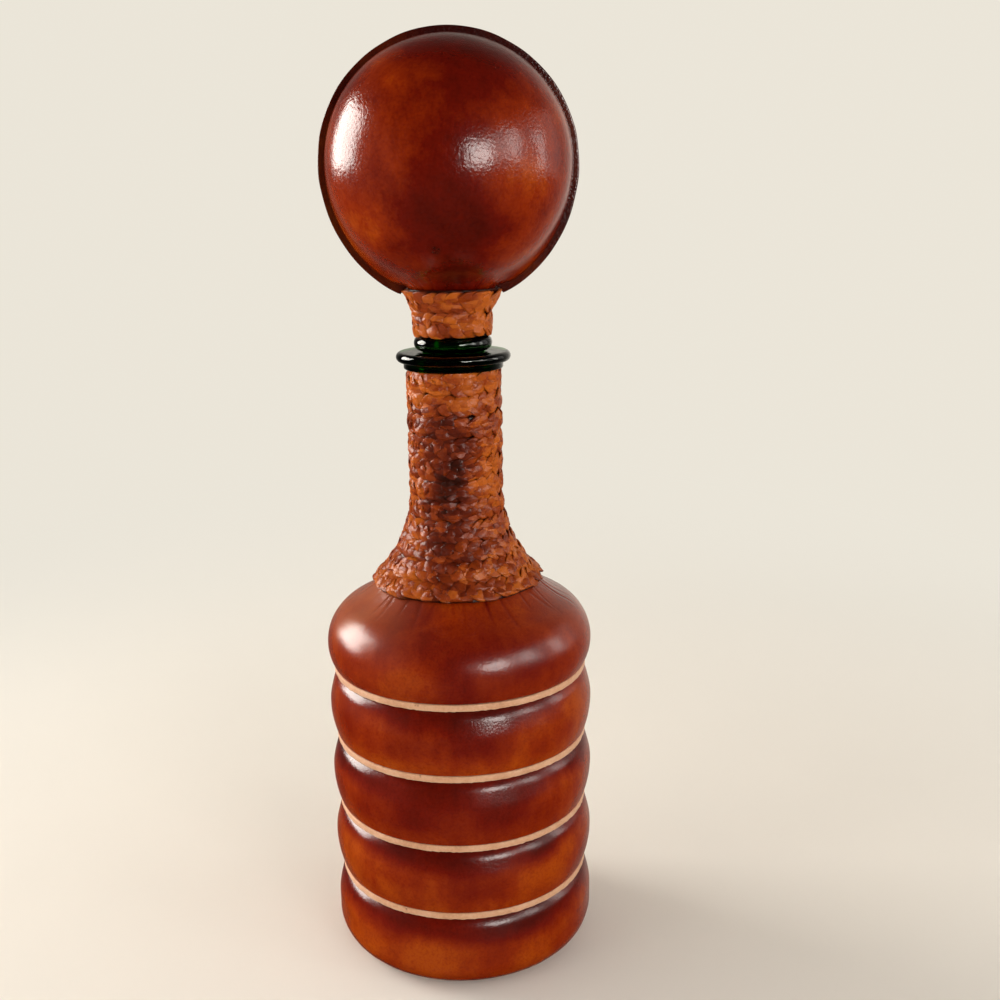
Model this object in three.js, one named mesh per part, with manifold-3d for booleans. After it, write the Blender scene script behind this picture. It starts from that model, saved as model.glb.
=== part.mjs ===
// Leather-wrapped decanter: a green glass bottle dressed in crowned leather bands with pale laces in the
// grooves between them, a plaited thong wound round its neck, and a ball stopper covered by two leather
// half shells that meet in a flange. Millimetres, +Z up, origin on the table under the bottle's axis.
// The stopper's flange lies in the XZ plane and its front half faces -Y.
import * as THREE from 'three';
import { mergeVertices } from 'three/addons/utils/BufferGeometryUtils.js';
import Module from 'manifold-3d';

const wasm = await Module();
wasm.setup();

// Fits
const CLEARANCE = 0.3;
const TURN_GAP = 0.7;

// Glass bottle
const BODY_R = 52.2;
const GLASS_WALL = 3.6;
const GLASS_FLOOR = 6;
const GLASS_HEEL_R = 9;
const GLASS_SHOULDER_R = 17;
const HOLLOW_R = 55;
const NECK_R = 16.6;
const NECK_LENGTH = 54.9;
const COLLAR_PROUD = 4.2;
const COLLAR_HEIGHT = 2.8;
const LIP_PROUD = 3.1;
const LIP_ROUND = 2.1;
const MOUTH_ROUND = 0.6;

// Leather on the body
const SOLE_THICK = 2.4;
const SOLE_R = 38;
const HEM_LIFT = 0.4;
const BASE_HEEL_R = 13;
const BASE_HEIGHT = 35.4;
const BELT_PITCH = 31.2;
const BELT_EDGE = 0.8;
const CROWN_RISE = 4.3;
const CROWN_DROP = 2.6;
const SHOULDER_RISE = 12.4;
const SHOULDER_PAD = 3;
const SHOULDER_SKIN = 3.6;
const SKIVED_EDGE = 0.7;
const LACE_WIDTH = 2.9;
const LACE_THICK = 2.6;

// Plaited thong and its windings
const PLAIT_THICK = 3;
const PLAIT_EDGE = 1.8;
const PLAIT_CROWN_SHARE = 0.5;
const NECK_TURNS = 11;
const NECK_FOOT_R = 34.8;
const STOPPER_TURNS = 2;
const STOPPER_TOP_R = 18.6;
const CLIMB_SHARE = 1 / 3;

// Ball stopper
const BALL_R = 47.3;
const BALL_WALL = 2.6;
const STEM_LENGTH = 68;
const STEM_R = 10.9;
const STEM_BORE_R = 6.5;
const STEM_FILLET_R = 25;
const BEAD_R = 16.3;
const BEAD_ROUND = 3.2;
const SHANK_LENGTH = 7;
const CORK_THICK = 2.8;
const CORK_LENGTH = 22;
const PEG_TIP = 1.5;
const STOPPER_LEATHER = 2;
const FLANGE_PROUD = 2.7;
const FLANGE_THICK = 1.6;
const FLANGE_LAP = 1;

// Facets
const SEGMENTS = 32;
const CHORD_SAG = 0.25;
const LARGEST_TURN = 30;
const STEPS_PER_TURN = 24;
const FLANGE_STEPS = 6;
const HALF_TURN = 180;
const RIGHT_ANGLE = 90;

// Heights and radii worked out from the sizes above
const glassZ = SOLE_THICK + CLEARANCE;
const leatherR = BODY_R + CLEARANCE;
const edgeR = leatherR + BELT_EDGE;
const crownR = edgeR + CROWN_RISE;
const lacesZ = [0, 1, 2, 3].map((i) => BASE_HEIGHT + i * BELT_PITCH);
const grooveHalf = LACE_WIDTH / 2 + CLEARANCE;
const beltHalf = BELT_PITCH / 2 - grooveHalf;
const glassSweep = shoulderSweep(BODY_R, GLASS_SHOULDER_R);
const leatherShoulderR = GLASS_SHOULDER_R + SHOULDER_PAD;
const leatherSweep = shoulderSweep(crownR, leatherShoulderR);
const glassShoulderZ = lacesZ[3] + SHOULDER_RISE;
const glassNeckZ = glassShoulderZ + glassSweep.rise;
const leatherNeckZ = glassNeckZ + SHOULDER_SKIN;
const leatherShoulderZ = leatherNeckZ - leatherSweep.rise;
const hollowCentreR = NECK_R + HOLLOW_R;
const boreR = NECK_R - GLASS_WALL;
const collarZ = glassNeckZ + NECK_LENGTH;
const collarR = NECK_R + COLLAR_PROUD;
const lipR = collarR + LIP_PROUD;
const lipZ = collarZ + COLLAR_HEIGHT + LIP_ROUND;
const mouthZ = lipZ + LIP_ROUND;
const beadZ = mouthZ + CLEARANCE;
const stemZ = beadZ + 2 * BEAD_ROUND;
const ballZ = stemZ + STEM_LENGTH;
const shankR = boreR - CLEARANCE;
const shankZ = beadZ - SHANK_LENGTH;
const pegR = shankR - CORK_THICK - CLEARANCE;
const corkZ = shankZ - CLEARANCE;
const pegZ = corkZ - CORK_LENGTH - PEG_TIP;
const stemSweep = ballSweep(BALL_R, STEM_R);
const filletZ = ballZ - stemSweep.drop;

// Rise and turning angle of a shoulder that rounds off the body and sweeps in a hollow up to the neck
function shoulderSweep(bodyR, roundR) {
  const across = NECK_R + HOLLOW_R - bodyR + roundR;
  const reach = HOLLOW_R + roundR;
  return {
    rise: Math.sqrt(reach ** 2 - across ** 2),
    angle: THREE.MathUtils.radToDeg(Math.acos(across / reach)),
  };
}

// Drop from a ball's centre to the start of the fillet on its stem, and the angle where fillet meets ball
function ballSweep(ballR, stemR) {
  const across = stemR + STEM_FILLET_R;
  const reach = ballR + STEM_FILLET_R;
  return {
    drop: Math.sqrt(reach ** 2 - across ** 2),
    angle: THREE.MathUtils.radToDeg(Math.acos(across / reach)),
  };
}

function point(r, z) {
  return new THREE.Vector2(r, z);
}

// Points of an arc in a turned profile, between two angles in degrees, with chords that stay close to it
function arc(r, z, radius, from, to) {
  const chordTurn = THREE.MathUtils.radToDeg(2 * Math.acos(1 - CHORD_SAG / radius));
  const steps = Math.ceil(Math.abs(to - from) / Math.min(chordTurn, LARGEST_TURN));
  return Array.from({ length: steps + 1 }, (_, i) => {
    const angle = THREE.MathUtils.degToRad(from + (to - from) * i / steps);
    return point(r + radius * Math.cos(angle), z + radius * Math.sin(angle));
  });
}

// Points on one half of a leather band's crown: an arc that is full out at z and falls back to its edge
function crown(z, half, fall, from, to) {
  const radius = (half ** 2 + fall ** 2) / (2 * fall);
  const reach = THREE.MathUtils.radToDeg(Math.asin(half / radius));
  return arc(crownR - radius, z, radius, from * reach, to * reach);
}

// Solid of revolution about Z; the profile runs up the outside, on the axis at both ends or closed
function turned(profile) {
  return new THREE.LatheGeometry(profile, SEGMENTS).rotateX(Math.PI / 2);
}

function ring(profile) {
  return turned([...profile, profile[0]]);
}

function toSolid(geometry) {
  const bare = geometry.clone();
  bare.deleteAttribute('normal');
  bare.deleteAttribute('uv');
  const merged = mergeVertices(bare);
  const corners = merged.index.array;
  const triVerts = [];
  for (let i = 0; i < corners.length; i += 3) {
    const [a, b, c] = corners.subarray(i, i + 3);
    if (a !== b && b !== c && c !== a) {
      triVerts.push(a, b, c);
    }
  }
  return new wasm.Manifold(new wasm.Mesh({
    numProp: 3,
    vertProperties: new Float32Array(merged.attributes.position.array),
    triVerts: new Uint32Array(triVerts),
  }));
}

function toGeometry(solid) {
  const mesh = solid.getMesh();
  const geometry = new THREE.BufferGeometry();
  geometry.setAttribute('position', new THREE.BufferAttribute(mesh.vertProperties, 3));
  geometry.setIndex(new THREE.BufferAttribute(mesh.triVerts, 1));
  return geometry;
}

// Glass bottle

function bottleGeometry() {
  const { angle } = glassSweep;
  const heelR = BODY_R - GLASS_HEEL_R;
  const innerHeelR = GLASS_HEEL_R - GLASS_WALL;
  const floorZ = glassZ + GLASS_FLOOR;
  const roundR = BODY_R - GLASS_SHOULDER_R;
  return turned([
    point(0, glassZ),
    ...arc(heelR, glassZ + GLASS_HEEL_R, GLASS_HEEL_R, -RIGHT_ANGLE, 0),
    ...arc(roundR, glassShoulderZ, GLASS_SHOULDER_R, 0, angle),
    ...arc(hollowCentreR, glassNeckZ, HOLLOW_R, HALF_TURN + angle, HALF_TURN).slice(1),
    point(NECK_R, collarZ),
    point(collarR, collarZ),
    point(collarR, lipZ - LIP_ROUND),
    ...arc(lipR - LIP_ROUND, lipZ, LIP_ROUND, -RIGHT_ANGLE, RIGHT_ANGLE),
    ...arc(boreR + MOUTH_ROUND, mouthZ - MOUTH_ROUND, MOUTH_ROUND, RIGHT_ANGLE, HALF_TURN),
    ...arc(hollowCentreR, glassNeckZ, HOLLOW_R + GLASS_WALL, HALF_TURN, HALF_TURN + angle),
    ...arc(roundR, glassShoulderZ, GLASS_SHOULDER_R - GLASS_WALL, angle, 0).slice(1),
    ...arc(heelR, floorZ + innerHeelR, innerHeelR, 0, -RIGHT_ANGLE),
    point(0, floorZ),
  ]);
}

// Leather on the body, from the table up

function soleGeometry() {
  return turned([
    point(0, 0),
    point(SOLE_R, 0),
    point(SOLE_R, SOLE_THICK),
    point(0, SOLE_THICK),
  ]);
}

function baseGeometry() {
  const hemR = SOLE_R + CLEARANCE;
  const crownZ = lacesZ[0] - grooveHalf - beltHalf;
  const glassHeelZ = glassZ + GLASS_HEEL_R;
  return ring([
    point(hemR, HEM_LIFT),
    ...arc(crownR - BASE_HEEL_R, HEM_LIFT + BASE_HEEL_R, BASE_HEEL_R, -RIGHT_ANGLE, 0),
    ...crown(crownZ, beltHalf, CROWN_RISE, 0, 1),
    point(leatherR, crownZ + beltHalf),
    ...arc(BODY_R - GLASS_HEEL_R, glassHeelZ, GLASS_HEEL_R + CLEARANCE, 0, -RIGHT_ANGLE),
    point(hemR, SOLE_THICK),
  ]);
}

function beltGeometry(z) {
  return ring([
    point(leatherR, z - beltHalf),
    ...crown(z, beltHalf, CROWN_DROP, -1, 0),
    ...crown(z, beltHalf, CROWN_RISE, 0, 1).slice(1),
    point(leatherR, z + beltHalf),
  ]);
}

function laceGeometry(z) {
  const half = LACE_WIDTH / 2;
  const outR = leatherR + LACE_THICK;
  return ring([
    point(leatherR, z - half),
    point(outR, z - half),
    point(outR, z + half),
    point(leatherR, z + half),
  ]);
}

// The shoulder's leather thins towards its upper edge, which lies under the winding
function shoulderGeometry() {
  const { angle } = leatherSweep;
  const lowZ = lacesZ[3] + grooveHalf;
  const tuck = Math.asin((SKIVED_EDGE + CLEARANCE) / SHOULDER_SKIN);
  const innerTuck = Math.atan2(HOLLOW_R * Math.sin(tuck) - SHOULDER_SKIN, HOLLOW_R * Math.cos(tuck));
  const tuckAngle = HALF_TURN + THREE.MathUtils.radToDeg(tuck);
  const innerTuckAngle = HALF_TURN + THREE.MathUtils.radToDeg(innerTuck);
  const innerAngle = glassSweep.angle;
  const innerHollowR = HOLLOW_R - CLEARANCE;
  const innerRoundR = GLASS_SHOULDER_R + CLEARANCE;
  return ring([
    point(leatherR, lowZ),
    ...crown(leatherShoulderZ, leatherShoulderZ - lowZ, CROWN_DROP, -1, 0),
    ...arc(crownR - leatherShoulderR, leatherShoulderZ, leatherShoulderR, 0, angle).slice(1),
    ...arc(hollowCentreR, leatherNeckZ, HOLLOW_R, HALF_TURN + angle, tuckAngle).slice(1),
    ...arc(hollowCentreR, glassNeckZ, innerHollowR, innerTuckAngle, HALF_TURN + innerAngle),
    ...arc(BODY_R - GLASS_SHOULDER_R, glassShoulderZ, innerRoundR, innerAngle, 0).slice(1),
  ]);
}

// Windings of the plaited thong

// Seat of the neck winding: up the shoulder's hollow, then the straight neck to just under the collar
function neckSeat() {
  const footAngle = Math.PI + Math.acos((hollowCentreR - NECK_FOOT_R) / HOLLOW_R);
  const seat = new THREE.Path();
  seat.absarc(hollowCentreR, leatherNeckZ, HOLLOW_R - CLEARANCE, footAngle, Math.PI, true);
  seat.lineTo(NECK_R + CLEARANCE, collarZ - CLEARANCE);
  return seat;
}

// Seat of the stopper winding: up the leather on the stem, then out along its fillet under the ball
function stopperSeat() {
  const out = 2 * CLEARANCE + STOPPER_LEATHER;
  const stemR = STEM_R + out;
  const filletR = STEM_FILLET_R - out;
  const topAngle = Math.PI - Math.acos((stemR + filletR - STOPPER_TOP_R) / filletR);
  const seat = new THREE.Path();
  seat.moveTo(stemR, stemZ + CLEARANCE);
  seat.lineTo(stemR, filletZ);
  seat.absarc(stemR + filletR, filletZ, filletR, Math.PI, topAngle, true);
  return seat;
}

// Point a given length along a seat and a given height off it, with the seat's direction there
function onSeat(seat, along, off) {
  const share = THREE.MathUtils.clamp(along / seat.getLength(), 0, 1);
  const place = seat.getPointAt(share);
  const way = seat.getTangentAt(share);
  return point(place.x + way.y * off, place.y - way.x * off);
}

// Length climbed along the seat after some turns: each turn runs level and climbs in its last share
function climbed(turns, pitch) {
  const whole = Math.floor(turns);
  return pitch * (whole + THREE.MathUtils.smoothstep(turns - whole, 1 - CLIMB_SHARE, 1));
}

// One unbroken flat tube of six sides wound on a seat, with both ends at the back
function windingGeometry(name, seat, turnCount) {
  const pitch = (seat.getLength() + TURN_GAP) / turnCount;
  const half = (pitch - TURN_GAP) / 2;
  const crownHalf = half * PLAIT_CROWN_SHARE;
  const section = [
    point(-half, 0),
    point(half, 0),
    point(half, PLAIT_EDGE),
    point(crownHalf, PLAIT_THICK),
    point(-crownHalf, PLAIT_THICK),
    point(-half, PLAIT_EDGE),
  ];
  const sides = section.length;
  const lastTurn = turnCount - CLIMB_SHARE;
  const steps = Math.round(lastTurn * STEPS_PER_TURN);
  const outward = 1 / Math.cos(Math.PI / STEPS_PER_TURN);
  const startAngle = Math.PI / 2 + Math.PI * CLIMB_SHARE;
  const rings = [];
  for (let i = 0; i <= steps; i += 1) {
    const turns = i / STEPS_PER_TURN;
    const angle = startAngle + turns * 2 * Math.PI;
    rings.push(section.map((corner) => {
      const place = onSeat(seat, half + climbed(turns, pitch) + corner.x, corner.y);
      const r = place.x * outward;
      return new THREE.Vector3(r * Math.cos(angle), r * Math.sin(angle), place.y);
    }));
  }
  rings.unshift(straightEnd(rings[0], rings[1]));
  rings.push(straightEnd(rings.at(-1), rings.at(-2)));
  console.log(`${name}: least gap between turns ${leastGap(rings).toFixed(2)} mm`);

  const corners = [];
  for (let i = 0; i + 1 < rings.length; i += 1) {
    for (let j = 0; j < sides; j += 1) {
      const a = i * sides + j;
      const b = i * sides + (j + 1) % sides;
      corners.push(a, b, a + sides, b, b + sides, a + sides);
    }
  }
  const last = (rings.length - 1) * sides;
  for (let j = 1; j + 1 < sides; j += 1) {
    corners.push(0, j + 1, j, last, last + j, last + j + 1);
  }
  const geometry = new THREE.BufferGeometry().setFromPoints(rings.flat());
  geometry.setIndex(corners);
  return geometry;
}

// A winding's end carried straight on for one thickness of the thong
function straightEnd(end, before) {
  return end.map((corner, i) => {
    const way = corner.clone().sub(before[i]).setZ(0).normalize();
    return corner.clone().addScaledVector(way, PLAIT_THICK);
  });
}

// Least distance between corners of a winding that lie more than half a turn apart along it
function leastGap(rings) {
  const apart = STEPS_PER_TURN / 2;
  let least = Infinity;
  for (let i = 0; i + apart < rings.length; i += 1) {
    for (const other of rings.slice(i + apart).flat()) {
      for (const corner of rings[i]) {
        least = Math.min(least, corner.distanceTo(other));
      }
    }
  }
  return least;
}

// Ball stopper

// Outline of ball and stem at a distance outside the glass, from the stem's foot up to the top
function ballOutline(out) {
  const { angle } = stemSweep;
  const filletR = STEM_FILLET_R - out;
  const fillet = arc(STEM_R + STEM_FILLET_R, filletZ, filletR, HALF_TURN, HALF_TURN - angle);
  const ball = arc(0, ballZ, BALL_R + out, -angle, RIGHT_ANGLE).slice(1, -1);
  return [...fillet, ...ball, point(0, ballZ + BALL_R + out)];
}

// Blown glass ball with a stem, a bead that sits on the bottle's lip, a shank and a hollow peg
function stopperGlassGeometry() {
  const innerR = BALL_R - BALL_WALL;
  const inner = ballSweep(innerR, STEM_BORE_R);
  const innerFilletR = STEM_BORE_R + STEM_FILLET_R;
  const innerFilletZ = ballZ - inner.drop;
  const ball = arc(0, ballZ, innerR, RIGHT_ANGLE, -inner.angle).slice(1, -1);
  return turned([
    point(0, ballZ + innerR),
    ...ball,
    ...arc(innerFilletR, innerFilletZ, STEM_FILLET_R, HALF_TURN - inner.angle, HALF_TURN),
    point(STEM_BORE_R, pegZ),
    point(pegR, pegZ),
    point(pegR, shankZ),
    point(shankR, shankZ),
    point(shankR, beadZ),
    ...arc(BEAD_R - BEAD_ROUND, beadZ + BEAD_ROUND, BEAD_ROUND, -RIGHT_ANGLE, RIGHT_ANGLE),
    point(STEM_R, stemZ),
    ...ballOutline(0),
  ]);
}

function corkGeometry() {
  const innerR = pegR + CLEARANCE;
  const outerR = boreR - CLEARANCE;
  return ring([
    point(innerR, corkZ - CORK_LENGTH),
    point(outerR, corkZ - CORK_LENGTH),
    point(outerR, corkZ),
    point(innerR, corkZ),
  ]);
}

// Outline of the flange in the seam plane: round above the ball's middle, and below it drawn down in an
// ellipse to two tails that end on the winding's top
function flangeShape(seat) {
  const flangeR = BALL_R + CLEARANCE + STOPPER_LEATHER + FLANGE_PROUD;
  const way = seat.getTangentAt(1).multiplyScalar(CLEARANCE);
  const foot = onSeat(seat, seat.getLength(), 0).add(way);
  const tip = onSeat(seat, seat.getLength(), PLAIT_THICK + FLANGE_LAP).add(way);
  const tipAngle = Math.acos(tip.x / flangeR);
  const drop = (ballZ - tip.y) / Math.sin(tipAngle);
  const shape = new THREE.Shape();
  shape.moveTo(-foot.x, foot.y);
  shape.lineTo(foot.x, foot.y);
  shape.absellipse(0, ballZ, flangeR, drop, -tipAngle, 0);
  shape.absarc(0, ballZ, flangeR, 0, Math.PI);
  shape.absellipse(0, ballZ, flangeR, drop, Math.PI, Math.PI + tipAngle);
  return shape;
}

// One leather half shell, front or back, with its half of the flange
function halfShellGeometry(side) {
  const lowZ = stemZ + CLEARANCE;
  const inside = ballOutline(CLEARANCE);
  const outside = ballOutline(CLEARANCE + STOPPER_LEATHER);
  const innerR = STEM_R + CLEARANCE;
  const outerR = innerR + STOPPER_LEATHER;
  const topZ = inside.at(-1).y;
  const shell = turned([
    ...inside.toReversed(),
    point(innerR, lowZ),
    point(outerR, lowZ),
    ...outside,
  ]);
  const core = turned([
    point(0, lowZ),
    point(innerR, lowZ),
    ...inside,
  ]);
  const plate = new THREE.ExtrudeGeometry(flangeShape(stopperSeat()), {
    depth: FLANGE_THICK,
    bevelEnabled: false,
    curveSegments: FLANGE_STEPS,
  });
  plate.rotateX(Math.PI / 2);
  plate.translate(0, side > 0 ? CLEARANCE / 2 + FLANGE_THICK : -CLEARANCE / 2, 0);
  const room = 4 * BALL_R;
  const otherHalf = new THREE.BoxGeometry(room, room, room);
  otherHalf.translate(0, side * (CLEARANCE / 2 - room / 2), topZ - BALL_R);
  const halfShell = toSolid(shell).subtract(toSolid(otherHalf));
  const flange = toSolid(plate).subtract(toSolid(core));
  return toGeometry(halfShell.add(flange));
}

// Assembly

const decanter = new THREE.Group();

function addPiece(name, geometry, look) {
  const piece = new THREE.Mesh(geometry, new THREE.MeshStandardMaterial(look));
  piece.name = name;
  decanter.add(piece);
}

const GREEN_GLASS = { color: 0x0f2a12, roughness: 0.05, metalness: 0 };
const STAINED_LEATHER = { color: 0x8a3a10, roughness: 0.35, metalness: 0 };
const BALL_LEATHER = { color: 0x7a2d0e, roughness: 0.35, metalness: 0 };
const NATURAL_LEATHER = { color: 0xd8b083, roughness: 0.8, metalness: 0 };
const SOLE_LEATHER = { color: 0x5a3018, roughness: 0.8, metalness: 0 };
const PLAITED_LEATHER = { color: 0x96491c, roughness: 0.55, metalness: 0 };
const CORK = { color: 0xb98a5a, roughness: 0.9, metalness: 0 };

addPiece('glass_bottle', bottleGeometry(), GREEN_GLASS);
addPiece('base_disc', soleGeometry(), SOLE_LEATHER);
addPiece('base_cover', baseGeometry(), STAINED_LEATHER);
['belt_lower', 'belt_middle', 'belt_upper'].forEach((name, i) => {
  addPiece(name, beltGeometry(lacesZ[i] + BELT_PITCH / 2), STAINED_LEATHER);
});
addPiece('shoulder_cover', shoulderGeometry(), STAINED_LEATHER);
lacesZ.forEach((z, i) => {
  addPiece(`groove_lace_${i + 1}`, laceGeometry(z), NATURAL_LEATHER);
});
addPiece('neck_winding', windingGeometry('neck_winding', neckSeat(), NECK_TURNS), PLAITED_LEATHER);
addPiece('cork_sleeve', corkGeometry(), CORK);
addPiece('stopper_glass', stopperGlassGeometry(), GREEN_GLASS);
addPiece('stopper_front_leather', halfShellGeometry(-1), BALL_LEATHER);
addPiece('stopper_back_leather', halfShellGeometry(1), BALL_LEATHER);
addPiece('stopper_winding', windingGeometry('stopper_winding', stopperSeat(), STOPPER_TURNS), PLAITED_LEATHER);

export default decanter;
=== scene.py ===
"""Looks of a leather-wrapped decanter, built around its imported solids.

Turned leather bands with pale laces in the grooves, plaited windings on the neck and on the
stopper's stem, two leather half shells that meet in a flange on the ball, and dark green glass.
Metres, +Z up.
"""

import itertools
from math import acos, asin, atan2, cos, degrees, hypot, pi, radians, sin

import bmesh
import bpy
import numpy as np
from mathutils import Matrix, Vector


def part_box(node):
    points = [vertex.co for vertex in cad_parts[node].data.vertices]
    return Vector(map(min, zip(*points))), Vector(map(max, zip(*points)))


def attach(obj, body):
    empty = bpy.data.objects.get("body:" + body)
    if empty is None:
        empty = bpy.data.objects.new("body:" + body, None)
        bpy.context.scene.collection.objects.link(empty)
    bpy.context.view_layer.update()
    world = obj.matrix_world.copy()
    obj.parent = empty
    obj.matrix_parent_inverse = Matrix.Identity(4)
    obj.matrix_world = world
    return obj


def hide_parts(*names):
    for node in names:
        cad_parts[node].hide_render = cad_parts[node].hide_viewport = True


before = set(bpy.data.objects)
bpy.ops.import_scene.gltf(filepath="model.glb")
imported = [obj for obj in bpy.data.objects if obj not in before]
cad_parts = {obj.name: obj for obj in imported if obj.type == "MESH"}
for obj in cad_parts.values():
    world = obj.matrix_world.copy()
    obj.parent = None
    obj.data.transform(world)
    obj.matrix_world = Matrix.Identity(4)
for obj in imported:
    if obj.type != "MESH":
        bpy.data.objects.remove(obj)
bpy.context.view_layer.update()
scene = bpy.context.scene

MM = 0.001
FRONT = -pi / 2
BACK = pi / 2

# Sizes that the solids' boxes don't give
CLEARANCE = 0.3 * MM
CROWN_RISE = 4.3 * MM
CROWN_FLANK = 0.23
CROWN_SLOPE = 0.14
CROWN_BEVEL = 0.75
CROWN_TURN = 0.4
CROWN_BEND = (0.66, 1.06)
CROWN_DROP = 2.6 * MM
BELT_EDGE = 0.8 * MM
BASE_HEEL_R = 13 * MM
GLASS_WALL = 3.6 * MM
GLASS_FLOOR = 6 * MM
GLASS_HEEL_R = 9 * MM
GLASS_SHOULDER_R = 17 * MM
LEATHER_SHOULDER_R = 20 * MM
SHOULDER_SKIN = 3.6 * MM
SHOULDER_HEM = 1 * MM
HOLLOW_R = 55 * MM
NECK_R = 16.6 * MM
NECK_LENGTH = 54.9 * MM
NECK_FOOT_R = 34.8 * MM
COLLAR_HEIGHT = 2.8 * MM
COLLAR_ROUND = 0.6 * MM
LIP_PROUD = 3.1 * MM
LIP_ROUND = 2.1 * MM
LIP_CORNER = 0.3 * MM
MOUTH_ROUND = 1.2 * MM
BALL_WALL = 2.6 * MM
STEM_R = 10.9 * MM
STEM_BORE_R = 6.5 * MM
STEM_FILLET_R = 25 * MM
STOPPER_TOP_R = 18.6 * MM
BEAD_R = 16.3 * MM
BEAD_ROUND = 3.2 * MM
CORK_THICK = 2.8 * MM
PEG_SHOULDER = 7 * MM
CUT_EDGE = 0.5 * MM
STOPPER_LEATHER = 2 * MM
FLANGE_PROUD = 2.7 * MM
FLANGE_THICK = 1.6 * MM
FLANGE_LAP = 1 * MM
FLANGE_ROUND = 0.45 * MM
FLANGE_SEAM = 0.03 * MM
TURN_GAP = 0.7 * MM
PLAIT_THICK = 3 * MM
NECK_TURNS = 11
STOPPER_TURNS = 2
CLIMB_SHARE = 1 / 3

# Points in a mesh, round it and along its profile
BAND_STEPS = 400
SHOULDER_STEPS = 560
LACE_STEPS = 900
SEAM_STEPS = 40
BOTTLE_STEPS = 192
TURNED_STEPS = 160
CORK_STEPS = 120
SHELL_STEPS = 120
CROWN_STEPS = (32, 40)
STEM_STEPS = (6, 14, 40)
SHELL_ROWS = (8, 40, 130)


# Curves and noise

HASH_AXES = np.array([73856093, 19349663, 83492791])
HASH_SEED = 2654435761
HASH_MIX = ((13, 1274126177), (11, 668265263))
HASH_LAST = 9
HASH_MASK = 0xFFFFFF


def smooth(t):
    """A soft step from 0 to 1."""
    t = np.clip(t, 0, 1)
    return t * t * (3 - 2 * t)


def bell(x, width):
    """1 at 0, and less the further x is from it."""
    return np.exp(-(x / width) ** 2)


def noise(points, size, seed):
    """Smooth noise from -1 to 1 at an array of points, with cells of that size."""
    scaled = points / size
    cell = np.floor(scaled).astype(np.int64)
    part = smooth(scaled - cell)
    total = np.zeros(scaled.shape[:-1])
    for corner in itertools.product((0, 1), repeat=3):
        key = (cell + corner) @ HASH_AXES + seed * HASH_SEED
        for shift, prime in HASH_MIX:
            key = ((key ^ (key >> shift)) * prime) & HASH_MASK
        weight = np.prod(np.where(corner, part, 1 - part), axis=-1)
        total += weight * ((key ^ (key >> HASH_LAST)) / HASH_MASK * 2 - 1)
    return total


def arc(r, z, radius, start, end, steps):
    angle = np.radians(np.linspace(start, end, steps + 1))
    return np.column_stack([r + radius * np.cos(angle), z + radius * np.sin(angle)])


def upright(r, low, high, count):
    return np.column_stack([np.full(count, r), np.linspace(low, high, count)])


def rounded(angles, power):
    """Cosine and sine of a section's angles, squared off by a power below 1."""
    c, s = np.cos(angles), np.sin(angles)
    return np.sign(c) * np.abs(c) ** power, np.sign(s) * np.abs(s) ** power


def meet(centre_r, other_r, reach):
    """Angle in degrees and height from an arc's centre to a place at that reach and radius."""
    angle = acos((centre_r - other_r) / reach)
    return degrees(angle), reach * sin(angle)


def centre_of(low, high):
    """Middle of a span, and half its length."""
    return (low + high) / 2, (high - low) / 2


def normals_of(profile):
    """Normals to the right of travel along a profile."""
    way = np.gradient(profile, axis=0)
    normal = np.column_stack([way[:, 1], -way[:, 0]])
    return normal / np.maximum(np.linalg.norm(normal, axis=1), 1e-12)[:, None]


# Places taken from the solids

crown_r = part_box("belt_lower")[1].x
leather_r = crown_r - CROWN_RISE - BELT_EDGE
glass_low, glass_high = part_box("glass_bottle")
body_r = glass_high.x
mouth_z = glass_high.z
lip_z = mouth_z - LIP_ROUND
collar_z = lip_z - LIP_ROUND - COLLAR_HEIGHT
neck_z = collar_z - NECK_LENGTH
leather_neck_z = neck_z + SHOULDER_SKIN
hollow_r = NECK_R + HOLLOW_R
glass_round_r = body_r - GLASS_SHOULDER_R
glass_angle, glass_rise = meet(hollow_r, glass_round_r, HOLLOW_R + GLASS_SHOULDER_R)
glass_round_z = neck_z - glass_rise
foot_angle, foot_drop = meet(hollow_r, NECK_FOOT_R, HOLLOW_R)
shell_low, shell_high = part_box("stopper_front_leather")
flange_r = shell_high.x
ball_z = shell_high.z - flange_r
shell_r = flange_r - FLANGE_PROUD
ball_r = shell_r - STOPPER_LEATHER - CLEARANCE
stem_z = shell_low.z - CLEARANCE
fillet_r = STEM_R + STEM_FILLET_R
stem_angle, stem_drop = meet(fillet_r, 0, ball_r + STEM_FILLET_R)
fillet_z = ball_z - stem_drop


def upper_crown(z, half):
    """Upper half of a band's crown: full out at z, then an even flank, and a bevel to its edge."""
    share = np.linspace(0, 1, CROWN_STEPS[1] + 1)
    bend = (share - CROWN_BEND[0]) / (CROWN_BEND[1] - CROWN_BEND[0])
    flank = CROWN_FLANK * smooth(share / CROWN_TURN) + CROWN_SLOPE * share
    slope = flank + CROWN_BEVEL * smooth(bend)
    fall = np.concatenate([[0], np.cumsum(slope[1:] + slope[:-1])])
    return np.column_stack([crown_r - CROWN_RISE * fall / fall[-1], z + half * share])


def lower_crown(z, half):
    """Lower half of a band's crown, from its edge up to its fullest height at z."""
    share = np.linspace(1, 0, CROWN_STEPS[0] + 1)
    return np.column_stack([crown_r - CROWN_DROP * share ** 2, z - half * share])


# Meshes

MERGE_LENGTH = 0.002 * MM
THIN_LENGTH = 0.001 * MM
SEAM_SPAN = radians(2)


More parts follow.
